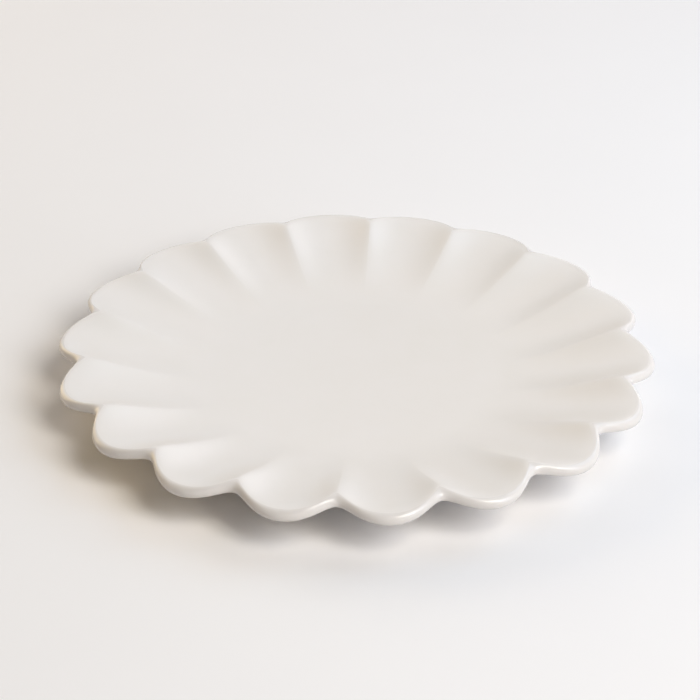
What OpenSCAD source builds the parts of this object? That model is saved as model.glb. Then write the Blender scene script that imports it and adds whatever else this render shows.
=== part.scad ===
// Scalloped dessert plate: a fired stoneware body with flutes round a flat well, the coat of
// satin glaze that covers it down to the foot, and the patch of glaze inside the foot ring.

/* [Plate] */
// Diameter across the petal tips
plate_d = 210; // [160:1:300]
// Depth of the well below the ends of the ridges
well_depth = 11.5; // [7:0.5:20]
// Diameter of the flat floor of the well
well_d = 100; // [70:1:110]
// Thickness of the floor, with its glaze
floor_t = 4.6; // [3.6:0.1:7]

/* [Flutes] */
// Number of flutes round the plate
flute_count = 18; // [12:1:24]
// How far the notches of the rim lie inside the petal tips
notch_depth = 7.2; // [3:0.1:9]
// Height of the ridges over the middle of the flutes, at the rim
flute_rise = 2.3; // [1:0.1:4]

/* [Lip] */
// Thickness of the lip
lip_t = 3.8; // [3.2:0.1:6]
// Height of the round on the lip's upper edge
lip_drop = 2; // [1:0.1:2.6]
// Width of the round on the lip's upper edge
lip_round = 2.2; // [1.8:0.1:4]
// Width of the round on the lip's lower edge
lip_under = 0.8; // [0.6:0.1:2]
// How much the wall flattens on its last stretch up to the lip
lip_roll = 0.7; // [0.3:0.1:1.2]

/* [Foot] */
// Diameter of the foot ring, at its resting face
foot_d = 116; // [100:1:130]
// Width of the foot ring, at its resting face
foot_w = 3.6; // [2.5:0.1:8]
// Height of the underside where it meets the foot
foot_h = 5; // [4:0.1:6]
// Height of the recess inside the foot
recess_h = 3.4; // [2.6:0.1:5]
// How far each side of the foot leans out from its resting face
foot_lean = 0.8; // [0.4:0.1:2]
// Fillet between the foot and the surfaces over it
foot_fillet = 1.4; // [0.8:0.1:2]
// Round on the two edges of the resting face
foot_edge = 0.5; // [0.2:0.1:1]

/* [Glaze] */
// Thickness of the glaze
glaze_t = 0.3; // [0.2:0.05:0.4]
// Width of the bare clay between the foot's fillets and the glaze
bare_w = 0.8; // [0.4:0.1:2]

/* [Hidden] */

well_r = well_d / 2;
foot_r = foot_d / 2;
floor_z = recess_h + floor_t;
plate_h = floor_z + well_depth;

// The clay's own surfaces, under the glaze
clay_floor_z = floor_z - glaze_t;
clay_base_z = foot_h + glaze_t;
clay_recess_z = recess_h + glaze_t;

// The foot in section: its two sides, and the fillets that lead them into the clay above.
// A fillet's centre lies a little low, so that its arc crosses the surface and ends inside.
cross_share = 0.94;
foot_in_r = foot_r - foot_w;
fillet_out_r = foot_r + foot_lean + foot_fillet;
fillet_in_r = foot_in_r - foot_lean - foot_fillet;
base_r = fillet_out_r + bare_w;
recess_glaze_r = fillet_in_r - bare_w;

// Half angles of the arcs that each petal's outline and each flute's hollow follow
outline_arc = 40;
flute_arc = 30;
// Roundness of the ridges, and of the notches and valleys of the lip and the underside
edge_round_share = 0.04;
ridge_round_share = 0.18;
valley_round_share = 0.28;
// How much rounder the ridges are at the well than at the rim
ridge_soft_share = 0.7;
// Roundness of the bend from the well's floor into the wall
bend_round_share = 0.5;
// How late the flutes set in on the way up, how late the wall flattens under the lip, and how
// much flatter the underside starts at the foot
fade_power = 1.7;
roll_power = 20;
under_power = 1.25;

// Columns of points across a flute, in half widths, starting on a ridge
column_shares = [-1, -0.9, -0.72, -0.48, -0.22, 0, 0.22, 0.48, 0.72, 0.9];
// Rings up the wall from the well, angles round the lip, and rings back down to the foot
glaze_rise_shares = [0, 0.08, 0.18, 0.32, 0.48, 0.64, 0.78, 0.87, 0.93, 0.97];
glaze_lip_angles = [90, 60, 30, 0, -45];
glaze_under_shares = [1, 0.75, 0.5, 0.25, 0];
clay_rise_shares = [0, 0.12, 0.28, 0.5, 0.74, 0.92];
clay_lip_angles = [90, 45, 0, -45];
clay_under_shares = [1, 0.66, 0.33, 0];

// Rise of a hollow's curve from its middle, at 0, to its ridges, at -1 and 1: an arc of the
// given half angle, scaled to a rise of one, with the ridges rounded
function hollow(u, arc, round_share) =
    let (from_ridge = 1 - abs(u),
         rounded = sqrt(pow(from_ridge, 2) + pow(round_share, 2)) - round_share,
         full = sqrt(1 + pow(round_share, 2)) - round_share)
    (1 - cos(asin((1 - rounded / full) * sin(arc)))) / (1 - cos(arc));

// Rise of the wall from the well to the lip, flat at first and then straight
function climb(s) =
    (sqrt(pow(s, 2) + pow(bend_round_share, 2)) - bend_round_share)
    / (sqrt(1 + pow(bend_round_share, 2)) - bend_round_share);

// The ridges grow rounder, and the flutes fade out, on the way from the lip, where s is 1, to
// the well, where it is 0: how far the wall lies under the height of the ridges
function soften(s) = ridge_soft_share * (1 - s);
function sink(s, u) =
    flute_rise * (1 - hollow(u, flute_arc, ridge_round_share + soften(s))) * pow(s, fade_power);

// The lip's outermost line, and its upper and lower edges, at u across a flute. The upper edge
// is also the outline that the rings of the wall follow, with softer notches.
function rim_r(u) = plate_d / 2 - notch_depth * hollow(u, outline_arc, valley_round_share);
function edge_r(s, u) =
    plate_d / 2 - lip_round - notch_depth * hollow(u, outline_arc, edge_round_share + soften(s));
function edge_z(u) = plate_h - sink(1, u);
function under_r(u) = rim_r(u) - lip_under;
function under_z(u) = plate_h - lip_t - flute_rise * (1 - hollow(u, flute_arc, valley_round_share));

// Radius and height of the surface at u across a flute, for the upper side of the wall, the
// lip and the underside. The inset is the depth under the glaze's surface.
function wall_point(s, u, inset) = [
    well_r + (edge_r(s, u) - well_r) * s,
    floor_z + (well_depth + lip_roll) * climb(s) - lip_roll * pow(s, roll_power) - sink(s, u)
        - inset
];
function lip_point(angle, u, inset) =
    let (rim_z = edge_z(u) - lip_drop,
         in_r = angle > 0 ? edge_r(1, u) : under_r(u),
         end_z = angle > 0 ? edge_z(u) - inset : under_z(u) + inset)
    [
        in_r + (rim_r(u) - inset - in_r) * cos(angle),
        rim_z + (end_z - rim_z) * abs(sin(angle))
    ];
function under_point(s, u, inset) = [
    base_r + (under_r(u) - base_r) * s,
    foot_h + (plate_h - lip_t - foot_h) * pow(s, under_power)
        - (plate_h - lip_t - under_z(u)) * pow(s, fade_power) + inset
];

// The rings of points that the surface runs through, from the well over the lip to the foot
function ring(section) = [
    for (k = [0 : flute_count - 1], i = [0 : len(column_shares) - 1])
        let (angle = (k + column_shares[i] / 2) * 360 / flute_count, p = section[i])
        [p[0] * cos(angle), p[0] * sin(angle), p[1]]
];
function rings(rise_shares, lip_angles, under_shares, inset) = [
    for (s = rise_shares) ring([for (u = column_shares) wall_point(s, u, inset)]),
    for (a = lip_angles) ring([for (u = column_shares) lip_point(a, u, inset)]),
    for (s = under_shares) ring([for (u = column_shares) under_point(s, u, inset)])
];
function clay_rings() = rings(clay_rise_shares, clay_lip_angles, clay_under_shares, glaze_t);
function glaze_rings() = rings(glaze_rise_shares, glaze_lip_angles, glaze_under_shares, 0);
function reversed(list) = [for (i = [len(list) - 1 : -1 : 0]) list[i]];

// A solid between rings of points, closed flat on the first and the last. The four-sided
// patches are split alike on both halves of a flute, and from the ring numbered turn on the
// other way, so that a skin that comes back under itself fits the body it lies on.
module loft(rings, turn) {
    columns = len(column_shares);
    n = len(rings[0]);
    last = (len(rings) - 1) * n;
    faces = [
        [for (i = [n - 1 : -1 : 0]) i],
        for (k = [0 : len(rings) - 2], i = [0 : n - 1])
            let (a = k * n + i, b = k * n + (i + 1) % n, rising = i % columns >= columns / 2)
            each rising == k < turn
                ? [[a, b, a + n], [b, b + n, a + n]]
                : [[a, b, b + n], [a, b + n, a + n]],
        [for (i = [0 : n - 1]) last + i]
    ];
    polyhedron([for (r = rings) each r], faces, convexity = 8);
}

// The foot ring and the floor over its recess, in section
function arc_points(r, z, radius, from, to) = [
    for (i = [0 : arc_steps])
        let (angle = from + (to - from) * i / arc_steps)
        [r + radius * cos(angle), z + radius * sin(angle)]
];
arc_steps = 5;

module foot_section() {
    out_z = clay_base_z - foot_fillet * cross_share;
    core_z = (clay_base_z + clay_floor_z) / 2;
    polygon(concat(
        [[0, core_z], [0, clay_recess_z]],
        arc_points(fillet_in_r, clay_recess_z - foot_fillet, foot_fillet, 90, 0),
        arc_points(foot_in_r + foot_edge, foot_edge, foot_edge, 180, 270),
        arc_points(foot_r - foot_edge, foot_edge, foot_edge, 270, 360),
        arc_points(fillet_out_r, out_z, foot_fillet, 180, 90),
        [[fillet_out_r, core_z]]
    ));
}

module stoneware_body() {
    color("#d8cbb6") {
        loft(clay_rings(), len(clay_rings()));
        rotate_extrude($fn = 120)
            foot_section();
    }
}

module glaze_coat() {
    color("#efebe4")
        loft(concat(glaze_rings(), reversed(clay_rings())), len(glaze_rings()));
}

module recess_glaze() {
    color("#efebe4")
        translate([0, 0, recess_h])
            cylinder(h = glaze_t, r = recess_glaze_r, $fn = 120);
}

stoneware_body();
glaze_coat();
recess_glaze();
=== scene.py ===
import math

import bmesh
import bpy
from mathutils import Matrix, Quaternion, Vector


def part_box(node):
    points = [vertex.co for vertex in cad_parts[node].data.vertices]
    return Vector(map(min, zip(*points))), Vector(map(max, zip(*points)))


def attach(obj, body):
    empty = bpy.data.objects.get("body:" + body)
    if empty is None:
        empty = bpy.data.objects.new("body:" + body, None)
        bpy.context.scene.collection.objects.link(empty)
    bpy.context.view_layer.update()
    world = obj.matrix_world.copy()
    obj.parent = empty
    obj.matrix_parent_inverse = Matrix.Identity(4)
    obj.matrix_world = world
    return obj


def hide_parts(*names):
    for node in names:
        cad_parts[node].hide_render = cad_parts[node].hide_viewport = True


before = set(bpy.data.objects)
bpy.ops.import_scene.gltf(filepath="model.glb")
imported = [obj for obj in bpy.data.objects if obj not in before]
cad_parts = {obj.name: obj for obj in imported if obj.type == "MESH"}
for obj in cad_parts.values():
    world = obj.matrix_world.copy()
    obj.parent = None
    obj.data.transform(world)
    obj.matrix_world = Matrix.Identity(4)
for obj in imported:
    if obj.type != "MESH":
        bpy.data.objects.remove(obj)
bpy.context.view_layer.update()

mm = 0.001

# the frame gives the main sizes: rim, ridges, underside and the thickness of the glaze
coatLow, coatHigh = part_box("glaze_coat")
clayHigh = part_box("stoneware_body")[1]
patchLow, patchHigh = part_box("recess_glaze")
crestZ = coatHigh.z
baseZ = coatLow.z
glazeThick = coatHigh.z - clayHigh.z

# what the flutes, the well and the lip look like in section
form = {
    "flutes": 18,
    "wellRadius": 50 * mm,     # flat floor inside the flutes
    "wellDepth": 11.5 * mm,    # below the ends of the ridges
    "notchDepth": 7.2 * mm,    # notches inside the petal tips
    "fluteRise": 2.3 * mm,     # ridges over the middle of a flute
    "outlineArc": 40,          # half angle of a petal's outline, degrees
    "hollowArc": 30,           # half angle of a flute's hollow
    "edgeRound": 0.04,         # how round the notches and ridges are,
    "ridgeRound": 0.18,        # as shares of half a flute
    "ridgeSoft": 0.7,          # how much rounder the ridges are at the well
    "valleyRound": 0.28,
    "bendRound": 0.5,          # floor to wall, as a share of the wall
    "fade": 1.7,               # flutes fade towards the well and the foot
    "lipRoll": 0.7 * mm,       # the wall turns level as it meets the lip
    "rollPower": 20,
    "underPower": 1.25,        # the underside starts flatter at the foot
    "lipThick": 3.8 * mm,
    "lipDrop": 2 * mm,
    "lipRound": 2.2 * mm,
    "lipUnder": 0.8 * mm,
    "notchWiden": 1.4 * mm,    # the round grows wider towards the notches
    "widenPower": 3,
    "drawnIn": 0.085 * mm,
}

# a smooth outline would bulge past the flat facets of the CAD, so it is drawn in by that much
rimRadius = coatHigh.x - form["drawnIn"]

# the foot ring, which the glaze stops short of
foot = {
    "radius": 58 * mm,
    "width": 3.6 * mm,
    "lean": 0.8 * mm,
    "fillet": 1.4 * mm,
    "edge": 0.5 * mm,
    "bare": 0.8 * mm,
}

# how finely the pieces are grown: columns over half a flute, closer towards the ridge,
# and rings along the section
mesh = {
    "columns": 18,
    "plainColumns": 8,
    "crowding": 1.35,
    "wallRings": 32,
    "underRings": 13,
    "arcStep": 15,             # degrees, round the lip and the fillets
    "start": 2 * mm,           # the strip that a piece grows from
    "merge": 0.01 * mm,
    "smoothAngle": 35,
}

floorZ = crestZ - form["wellDepth"]
coatEnd = foot["radius"] + foot["lean"] + foot["fillet"] + foot["bare"]
halfFlute = math.pi / form["flutes"]
quarterTurn = [math.radians(a) for a in range(0, 91, mesh["arcStep"])]


def deselectAll():
    bpy.ops.object.select_all(action="DESELECT")


# height of a hollow from its middle, 0, to the ridge, 1
def hollow(u, arc, roundness):
    arc = math.radians(arc)
    away = 1 - abs(u)
    rounded = math.hypot(away, roundness) - roundness
    full = math.hypot(1, roundness) - roundness
    v = 1 - rounded / full
    return (1 - math.sqrt(1 - (v * math.sin(arc)) ** 2)) / (1 - math.cos(arc))


def climb(s):
    soft = form["bendRound"]
    return (math.hypot(s, soft) - soft) / (math.hypot(1, soft) - soft)


# the ridges grow softer on the way from the lip, at 1, to the well, at 0
def soften(s):
    return form["ridgeSoft"] * (1 - s)


# how far the wall lies under the ridges
def sink(s, u):
    rise = hollow(u, form["hollowArc"], form["ridgeRound"] + soften(s))
    return form["fluteRise"] * (1 - rise) * s ** form["fade"]


# radius and height of the lip's outermost line, of its upper edge and of its lower edge
def rimR(u):
    notch = hollow(u, form["outlineArc"], form["valleyRound"])
    return rimRadius - form["notchDepth"] * notch


def edgeR(u, s=1):
    notch = hollow(u, form["outlineArc"], form["edgeRound"] + soften(s))
    wide = form["lipRound"] + form["notchWiden"] * abs(u) ** form["widenPower"]
    return rimRadius - wide - form["notchDepth"] * notch


def edgeZ(u):
    return crestZ - sink(1, u)


def underZ(u):
    rise = hollow(u, form["hollowArc"], form["valleyRound"])
    return crestZ - form["lipThick"] - form["fluteRise"] * (1 - rise)


# spots on the surface: the wall from the floor up, the lip, and the underside
def wallSpot(s, u, inset):
    r = form["wellRadius"] + (edgeR(u, s) - form["wellRadius"]) * s
    rise = (form["wellDepth"] + form["lipRoll"]) * climb(s)
    rise -= form["lipRoll"] * s ** form["rollPower"]
    return r, floorZ + rise - sink(s, u) - inset


def lipSpot(angle, u, inset):
    a = math.radians(angle)
    rimZ = edgeZ(u) - form["lipDrop"]
    inR = edgeR(u) if angle > 0 else rimR(u) - form["lipUnder"]
    endZ = edgeZ(u) - inset if angle > 0 else underZ(u) + inset
    r = inR + (rimR(u) - inset - inR) * math.cos(a)
    return r, rimZ + (endZ - rimZ) * abs(math.sin(a))


def underSpot(s, u, inset):
    outR = rimR(u) - form["lipUnder"]
    outZ = crestZ - form["lipThick"]
    z = baseZ + (outZ - baseZ) * s ** form["underPower"]
    z -= (outZ - underZ(u)) * s ** form["fade"]
    return coatEnd + (outR - coatEnd) * s, z + inset


# a ring is a row of points over half a flute
def columns(count):
    return [1 - (1 - j / count) ** mesh["crowding"] for j in range(count + 1)]


def ring(spotAt, count):
    return [Vector((r * math.cos(u * halfFlute), r * math.sin(u * halfFlute), z))
            for u in columns(count) for r, z in [spotAt(u)]]


def level(r, z, count):
    return ring(lambda u: (r, z), count)


# from the middle of the well over the lip to the end of the glaze at the foot
def skinRings(inset, count):
    wall, under = mesh["wallRings"], mesh["underRings"]
    lipAngles = range(90, -90, -mesh["arcStep"])
    rings = [level(r, floorZ - inset, count) for r in (0, form["wellRadius"] / 2)]
    rings += [ring(lambda u: wallSpot(i / wall, u, inset), count) for i in range(wall)]
    rings += [ring(lambda u: lipSpot(a, u, inset), count) for a in lipAngles]
    rings += [ring(lambda u: underSpot(i / under, u, inset), count) for i in range(under, -1, -1)]
    return rings


def aroundZ(vert):
    return math.atan2(vert.co.y, vert.co.x)


# half a flute grows ring by ring from a strip, then it is mirrored and copied round
def growPiece(name, rings):
    count = len(rings[0])
    deselectAll()
    bpy.ops.mesh.primitive_grid_add(x_subdivisions=1, y_subdivisions=count - 1, size=mesh["start"])
    piece = bpy.context.object
    piece.name = piece.data.name = name
    bpy.ops.object.mode_set(mode="EDIT")
    bpy.ops.mesh.select_mode(type="VERT")
    bm = bmesh.from_edit_mesh(piece.data)

    def moveRow(verts, row):
        for vert, spot in zip(verts, row):
            bpy.ops.mesh.select_all(action="DESELECT")
            vert.select_set(True)
            bpy.ops.transform.translate(value=spot - vert.co)
        bpy.ops.mesh.select_all(action="DESELECT")
        for vert in verts:
            vert.select_set(True)
        bm.select_flush(True)

    ends = sorted(bm.verts, key=lambda v: (v.co.x, v.co.y))
    moveRow(ends[:count], rings[0])
    moveRow(ends[count:], rings[1])
    for row in rings[2:]:
        bpy.ops.mesh.extrude_region_move()
        moveRow(sorted([v for v in bm.verts if v.select], key=aroundZ), row)
    bpy.ops.object.mode_set(mode="OBJECT")

    flip = piece.modifiers.new("other half", "MIRROR")
    flip.use_axis = (False, True, False)
    flip.merge_threshold = mesh["merge"]
    bpy.ops.object.modifier_apply(modifier=flip.name)

    bpy.ops.object.mode_set(mode="EDIT")
    bpy.ops.mesh.select_all(action="SELECT")
    copies = form["flutes"] - 1
    bpy.ops.mesh.spin(steps=copies, dupli=True, angle=2 * halfFlute * copies,
                      center=(0, 0, 0), axis=(0, 0, 1))
    bpy.ops.mesh.select_all(action="SELECT")
    bpy.ops.mesh.remove_doubles(threshold=mesh["merge"])
    bpy.ops.mesh.normals_make_consistent(inside=False)
    bpy.ops.object.mode_set(mode="OBJECT")
    return piece


def finishPiece(piece, material):
    bpy.ops.object.shade_smooth_by_angle(angle=math.radians(mesh["smoothAngle"]))
    piece.data.materials.clear()
    piece.data.materials.append(material)
    deselectAll()


# materials

# a colour as it is picked, sRGB, into the linear values that the nodes want
def fromHex(text):
    parts = [int(text[i:i + 2], 16) / 255 for i in (1, 3, 5)]
    return [c / 12.92 if c <= 0.04045 else ((c + 0.055) / 1.055) ** 2.4 for c in parts] + [1]


def newMaterial(name):
    material = bpy.data.materials.new(name)
    material.use_nodes = True
    return material, material.node_tree, material.node_tree.nodes["Principled BSDF"]


def addNode(tree, kind, settings=None, inputs=None, links=None):
    node = tree.nodes.new(kind)
    for key, value in (settings or {}).items():
        setattr(node, key, value)
    for key, value in (inputs or {}).items():
        node.inputs[key].default_value = value
    for key, source in (links or {}).items():
        tree.links.new(source, node.inputs[key])
    return node


# Satin white glaze, dipped and fired: a soft broad sheen, a faint cloudiness where the dip ran
# thicker, and a darker, warmer tone over the lip and the ridges: glaze drawn thin, and painted
# shade on the lip's face.
glazeLook = {
    "colour": "#e1dcd5",
    "thickTone": "#e4dfda",
    # darker tone: thin glaze on the ridges and the lip, and painted shade on the lip's face
    "thinAndShadedTone": "#d9d3cd",
    "cloud": 14 * mm,
    "cloudDetail": 3,
    "satin": (0.3, 0.36),      # roughness, from glossier to duller clouds
    "lipSatin": 0.17,          # the thin glaze on the lip is smoother
    "ripple": (11 * mm, 0.03 * mm),    # size across and height
    "peel": (1.6 * mm, 0.006 * mm),
    "ior": 1.5,
}


# bumps stacked one on the other, each with its size across and its height
def relief(tree, where, layers):
    normal = None
    for size, height in layers:
        grain = addNode(tree, "ShaderNodeTexNoise", inputs={"Scale": 1 / size},
                        links={"Vector": where})
        links = {"Height": grain.outputs["Fac"]}
        if normal:
            links["Normal"] = normal
        bump = addNode(tree, "ShaderNodeBump", inputs={"Distance": height}, links=links)
        normal = bump.outputs["Normal"]
    return normal


def satinWhiteGlaze():
    material, tree, shader = newMaterial("satinWhiteGlaze")
    where = addNode(tree, "ShaderNodeTexCoord").outputs["Object"]
    cloud = addNode(tree, "ShaderNodeTexNoise",
                    inputs={"Scale": 1 / glazeLook["cloud"], "Detail": glazeLook["cloudDetail"]},
                    links={"Vector": where}).outputs["Fac"]
    tone = addNode(tree, "ShaderNodeMix", {"data_type": "RGBA"},
                   {6: fromHex(glazeLook["colour"]), 7: fromHex(glazeLook["thickTone"])},
                   {"Factor": cloud})
    # mask of that darker tone, which holds painted shade over the lip's face as well as thin glaze
    thinAndShaded = addNode(tree, "ShaderNodeAttribute", {"attribute_name": "thinAndShaded"}).outputs["Fac"]
    broken = addNode(tree, "ShaderNodeMix", {"data_type": "RGBA"},
                     {7: fromHex(glazeLook["thinAndShadedTone"])}, {"Factor": thinAndShaded, 6: tone.outputs[2]})
    tree.links.new(broken.outputs[2], shader.inputs["Base Color"])
    glossiest, dullest = glazeLook["satin"]
    sheen = addNode(tree, "ShaderNodeMapRange", inputs={"To Min": glossiest, "To Max": dullest},
                    links={"Value": cloud})
    glossed = addNode(tree, "ShaderNodeMix", inputs={"B": glazeLook["lipSatin"]},
                      links={"Factor": thinAndShaded, "A": sheen.outputs["Result"]})
    tree.links.new(glossed.outputs["Result"], shader.inputs["Roughness"])
    bumps = relief(tree, where, [glazeLook["ripple"], glazeLook["peel"]])
    tree.links.new(bumps, shader.inputs["Normal"])
    shader.inputs["IOR"].default_value = glazeLook["ior"]
    return material


# Bare stoneware, wiped clean of glaze and fired: a dry sandy buff with fine dark specks.
clayLook = {
    "colour": "#cfc1aa",
    "sand": "#bca98e",
    "speck": "#7d6a54",
    "grain": 0.9 * mm,
    "grainDetail": 4,
    "speckGap": 2.6 * mm,
    "speckShare": 0.09,        # radius of a speck, as a share of the gap
    "roughness": 0.88,
    "tooth": [(0.7 * mm, 0.05 * mm), (0.25 * mm, 0.02 * mm)],
}


def bareStoneware():
    material, tree, shader = newMaterial("bareStoneware")
    where = addNode(tree, "ShaderNodeTexCoord").outputs["Object"]
    grain = addNode(tree, "ShaderNodeTexNoise",
                    inputs={"Scale": 1 / clayLook["grain"], "Detail": clayLook["grainDetail"]},
                    links={"Vector": where}).outputs["Fac"]
    body = addNode(tree, "ShaderNodeMix", {"data_type": "RGBA"},
                   {6: fromHex(clayLook["colour"]), 7: fromHex(clayLook["sand"])},
                   {"Factor": grain})
    cells = addNode(tree, "ShaderNodeTexVoronoi", inputs={"Scale": 1 / clayLook["speckGap"]},
                    links={"Vector": where})
    near = addNode(tree, "ShaderNodeMath", {"operation": "LESS_THAN"},
                   {1: clayLook["speckShare"]}, {0: cells.outputs["Distance"]})
    specked = addNode(tree, "ShaderNodeMix", {"data_type": "RGBA"},
                      {7: fromHex(clayLook["speck"])},
                      {"Factor": near.outputs[0], 6: body.outputs[2]})
    tree.links.new(specked.outputs[2], shader.inputs["Base Color"])
    tree.links.new(relief(tree, where, clayLook["tooth"]), shader.inputs["Normal"])
    shader.inputs["Roughness"].default_value = clayLook["roughness"]
    return material


glaze = satinWhiteGlaze()
clay = bareStoneware()

# the coat is the glazed surface, closed by the clay's own surface under it
coatRings = skinRings(0, mesh["columns"]) + skinRings(glazeThick, mesh["columns"])[::-1]
coat = growPiece("glazeCoat", coatRings)

# where the tone darkens: over the lip's face, as thin glaze and painted shade, and a little along
# the ridges, as thin glaze
thinningAndShade = {
    "lipStart": -0.4 * mm,     # out from the lip's upper edge
    "lipFull": 1.2 * mm,
    "ridge": 1.2 * mm,         # half width of the thin line on a ridge
    "ridgeShare": 0.1,
    "fade": 6,                 # the line is lost towards the well
}


# marks the darker tone: thin glaze on ridges and lip, and painted shade over the lip's face
def markThinAndShaded(piece):
    values = []
    for vert in piece.data.vertices:
        r = math.hypot(vert.co.x, vert.co.y)
        u = (math.atan2(vert.co.y, vert.co.x) / halfFlute + 1) % 2 - 1
        lip = (r - edgeR(u) - thinningAndShade["lipStart"]) / (thinningAndShade["lipFull"] - thinningAndShade["lipStart"])
        away = (1 - abs(u)) * halfFlute * r
        ridge = math.exp(-(away / thinningAndShade["ridge"]) ** 2)
        ridge *= min(r / rimRadius, 1) ** thinningAndShade["fade"]
        values.append(min(max(lip, ridge * thinningAndShade["ridgeShare"]), 1))
    piece.data.attributes.new("thinAndShaded", "FLOAT", "POINT").data.foreach_set("value", values)


markThinAndShaded(coat)
finishPiece(coat, glaze)
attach(coat, "root")
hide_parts("glaze_coat")
print("glaze coat", len(coat.data.polygons))


# down the outer side of the foot, across its resting face and up to the recess's ceiling
def footRings(count):
    lean, fillet, edge = foot["lean"], foot["fillet"], foot["edge"]
    out, into = foot["radius"], foot["radius"] - foot["width"]
    top, ceiling = baseZ + glazeThick, patchHigh.z
    section = []
    for a in quarterTurn:
        section.append((out + lean + fillet * (1 - math.sin(a)), top - fillet * (1 - math.cos(a))))
    for a in quarterTurn:
        section.append((out - edge * (1 - math.cos(a)), edge * (1 - math.sin(a))))
    for a in quarterTurn:
        section.append((into + edge * (1 - math.sin(a)), edge * (1 - math.cos(a))))
    for a in quarterTurn:
        section.append((into - lean - fillet * (1 - math.cos(a)),
                        ceiling - fillet * (1 - math.sin(a))))
    section += [(into / 2, ceiling), (0, ceiling)]
    return [level(r, z, count) for r, z in section]


bodyRings = skinRings(glazeThick, mesh["plainColumns"]) + footRings(mesh["plainColumns"])
body = growPiece("clayBody", bodyRings)
finishPiece(body, clay)
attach(body, "root")
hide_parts("stoneware_body")
print("clay body", len(body.data.polygons))


# the patch inside the foot thins out to a round edge, as a puddle of glaze does
puddle = {"edgeWidth": 3}      # in thicknesses of the glaze


def patchRings(count):
    out = patchHigh.x
    low, high = patchLow.z, patchHigh.z
    thick = high - low
    width = puddle["edgeWidth"] * thick
    section = [(0, high), (out / 2, high)]
    section += [(out - width * (1 - math.cos(a)), high - thick * math.sin(a)) for a in quarterTurn]
    section += [(out / 2, low), (0, low)]
    return [level(r, z, count) for r, z in section]


patch = growPiece("recessPatch", patchRings(mesh["plainColumns"]))
finishPiece(patch, glaze)
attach(patch, "root")
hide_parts("recess_glaze")
print("recess patch", len(patch.data.polygons))

# stage

# the pale room that the camera and reflections see, and the fill that the rest of the light gets
room = {"colour": "#edebe9", "strength": 1, "fill": "#fff4e4", "fillStrength": 0.025}


# where the camera looks straight at something, or sees it in a reflection
def inSight(tree):
    path = addNode(tree, "ShaderNodeLightPath")
    mirrored = addNode(tree, "ShaderNodeMath", {"operation": "MAXIMUM"},
                       links={0: path.outputs["Is Glossy Ray"],
                              1: path.outputs["Is Transmission Ray"]})
    seen = addNode(tree, "ShaderNodeMath", {"operation": "MAXIMUM"},
                   links={0: path.outputs["Is Camera Ray"], 1: mirrored.outputs[0]})
    return seen.outputs[0]


tableTop = {
    "size": 4,
    "colour": "#f4f2f1",
    "shade": "#f2f0ef",
    "cloud": 60 * mm,
    "roughness": 0.8,
    "specular": 0.05,
    "fade": (0.38, 0.8),       # metres from the plate, where it turns into the room
}


# Painted board, rolled matt: almost even, with a faint unevenness in its tone. Far from the
# plate it runs into the room, so that no edge of it shows.
def paintedTable():
    material, tree, shader = newMaterial("paintedTable")
    where = addNode(tree, "ShaderNodeTexCoord").outputs["Object"]
    cloud = addNode(tree, "ShaderNodeTexNoise", inputs={"Scale": 1 / tableTop["cloud"]},
                    links={"Vector": where}).outputs["Fac"]
    tone = addNode(tree, "ShaderNodeMix", {"data_type": "RGBA"},
                   {6: fromHex(tableTop["colour"]), 7: fromHex(tableTop["shade"])},
                   {"Factor": cloud})
    tree.links.new(tone.outputs[2], shader.inputs["Base Color"])
    shader.inputs["Roughness"].default_value = tableTop["roughness"]
    shader.inputs["Specular IOR Level"].default_value = tableTop["specular"]
    away = addNode(tree, "ShaderNodeVectorMath", {"operation": "LENGTH"}, links={0: where})
    fadeStart, fadeEnd = tableTop["fade"]
    far = addNode(tree, "ShaderNodeMapRange", {"interpolation_type": "SMOOTHSTEP"},
                  {"From Min": fadeStart, "From Max": fadeEnd}, {"Value": away.outputs["Value"]})
    share = addNode(tree, "ShaderNodeMath", {"operation": "MULTIPLY"},
                    links={0: far.outputs["Result"], 1: inSight(tree)})
    walls = addNode(tree, "ShaderNodeEmission",
                    inputs={"Color": fromHex(room["colour"]), "Strength": room["strength"]})
    both = addNode(tree, "ShaderNodeMixShader",
                   links={0: share.outputs[0], 1: shader.outputs[0], 2: walls.outputs[0]})
    tree.links.new(both.outputs[0], tree.nodes["Material Output"].inputs["Surface"])
    return material


deselectAll()
bpy.ops.mesh.primitive_plane_add(size=tableTop["size"])
floor = bpy.context.object
floor.name = "table"
floor.data.materials.append(paintedTable())
print("table", tableTop["size"], "m")

# camera, where the photograph was taken from
shot = {
    "distance": 825.76 * mm,
    "elevation": 30.225,       # degrees, as are the turn and the roll
    "turn": 3.3,               # the petals stand turned to the camera by this much
    "aim": (-1.817 * mm, -4.962 * mm),
    "roll": 0.301,
    "lens": 121.02,
    "clipStart": 50 * mm,
}


def placeCamera():
    turn = Quaternion((0, 0, 1), math.radians(shot["turn"]))
    high = math.radians(shot["elevation"])
    centre = Vector((0, 0, crestZ))
    eye = centre + turn @ Vector((0, -math.cos(high), math.sin(high))) * shot["distance"]
    aim = centre + turn @ Vector((*shot["aim"], 0))
    deselectAll()
    bpy.ops.object.camera_add(location=eye)
    camera = bpy.context.object
    camera.rotation_mode = "QUATERNION"
    roll = Quaternion((0, 0, 1), math.radians(shot["roll"]))
    camera.rotation_quaternion = (aim - eye).to_track_quat("-Z", "Y") @ roll
    camera.data.lens = shot["lens"]
    camera.data.clip_start = shot["clipStart"]
    bpy.context.scene.camera = camera


placeCamera()
print("camera at", shot["elevation"], "degrees")

# light

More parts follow.
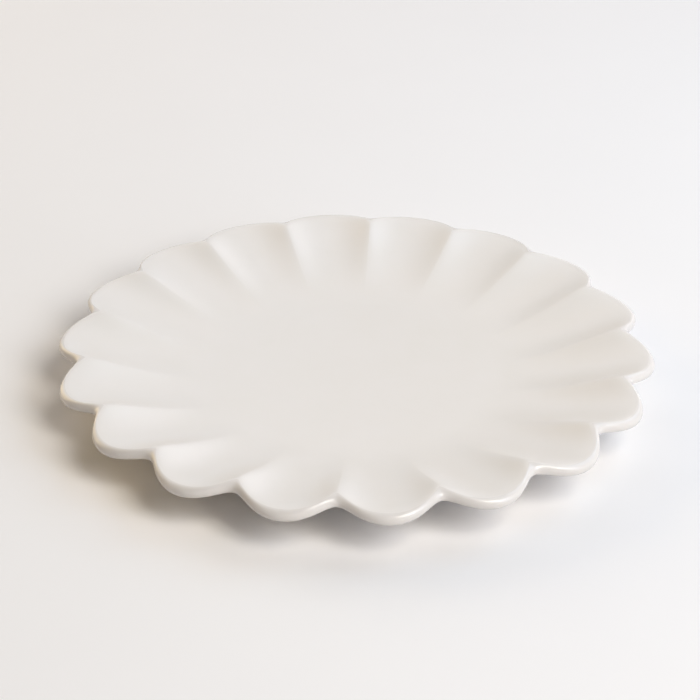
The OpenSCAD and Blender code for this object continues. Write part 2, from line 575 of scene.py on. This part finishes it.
# each lamp's azimuth runs from the camera's side, 0, by the right, 90, and its distance,
# size and power are in metres and watts
lamps = {
    "window": {"azimuth": 45, "elevation": 45, "distance": 1.8,
               "size": (0.72, 1.26), "power": 22.9, "colour": "#fff9ef"},
    "lowWindow": {"azimuth": 60, "elevation": 28, "distance": 1.2,
                  "size": (0.5, 0.9), "power": 6.3, "colour": "#dfebff"},
    "sideRight": {"azimuth": 120, "elevation": 45, "distance": 0.8,
                  "size": (0.5, 0.5), "power": 1.5, "colour": "#c8e4ff"},
    "rearRight": {"azimuth": 150, "elevation": 20, "distance": 1.2,
                  "size": (0.8, 0.8), "power": 1.75, "colour": "#fff0ef"},
    "rearLow": {"azimuth": 205, "elevation": 22, "distance": 1.2,
                "size": (0.8, 0.8), "power": 1.45, "colour": "#c4e0ff"},
    "rearHigh": {"azimuth": 205, "elevation": 50, "distance": 1.2,
                 "size": (0.8, 0.8), "power": 2, "colour": "#faf8ff"},
    "wall": {"azimuth": 240, "elevation": 20, "distance": 1.4,
             "size": (0.93, 0.93), "power": 7.9, "colour": "#ffe5b6"},
}


def addLamp(name, lamp):
    around, high = math.radians(lamp["azimuth"]), math.radians(lamp["elevation"])
    away = Vector((math.sin(around) * math.cos(high), -math.cos(around) * math.cos(high),
                   math.sin(high)))
    deselectAll()
    bpy.ops.object.light_add(type="AREA", location=away * lamp["distance"])
    light = bpy.context.object
    light.name = name
    light.rotation_mode = "QUATERNION"
    light.rotation_quaternion = (-away).to_track_quat("-Z", "Y")
    light.data.shape = "RECTANGLE"
    light.data.size, light.data.size_y = lamp["size"]
    light.data.energy = lamp["power"]
    light.data.color = fromHex(lamp["colour"])[:3]


for name, lamp in lamps.items():
    addLamp(name, lamp)
print("lamps", len(lamps))


# the camera and reflections see the room, and other light gets only a faint fill
def paleRoom():
    world = bpy.data.worlds.new("paleRoom")
    world.use_nodes = True
    tree = world.node_tree
    fill = tree.nodes["Background"]
    fill.inputs["Color"].default_value = fromHex(room["fill"])
    fill.inputs["Strength"].default_value = room["fillStrength"]
    walls = addNode(tree, "ShaderNodeBackground",
                    inputs={"Color": fromHex(room["colour"]), "Strength": room["strength"]})
    both = addNode(tree, "ShaderNodeMixShader",
                   links={0: inSight(tree), 1: fill.outputs[0], 2: walls.outputs[0]})
    tree.links.new(both.outputs[0], tree.nodes["World Output"].inputs["Surface"])
    return world


bpy.context.scene.world = paleRoom()
bpy.context.scene.view_settings.view_transform = "Standard"
print("room lit")
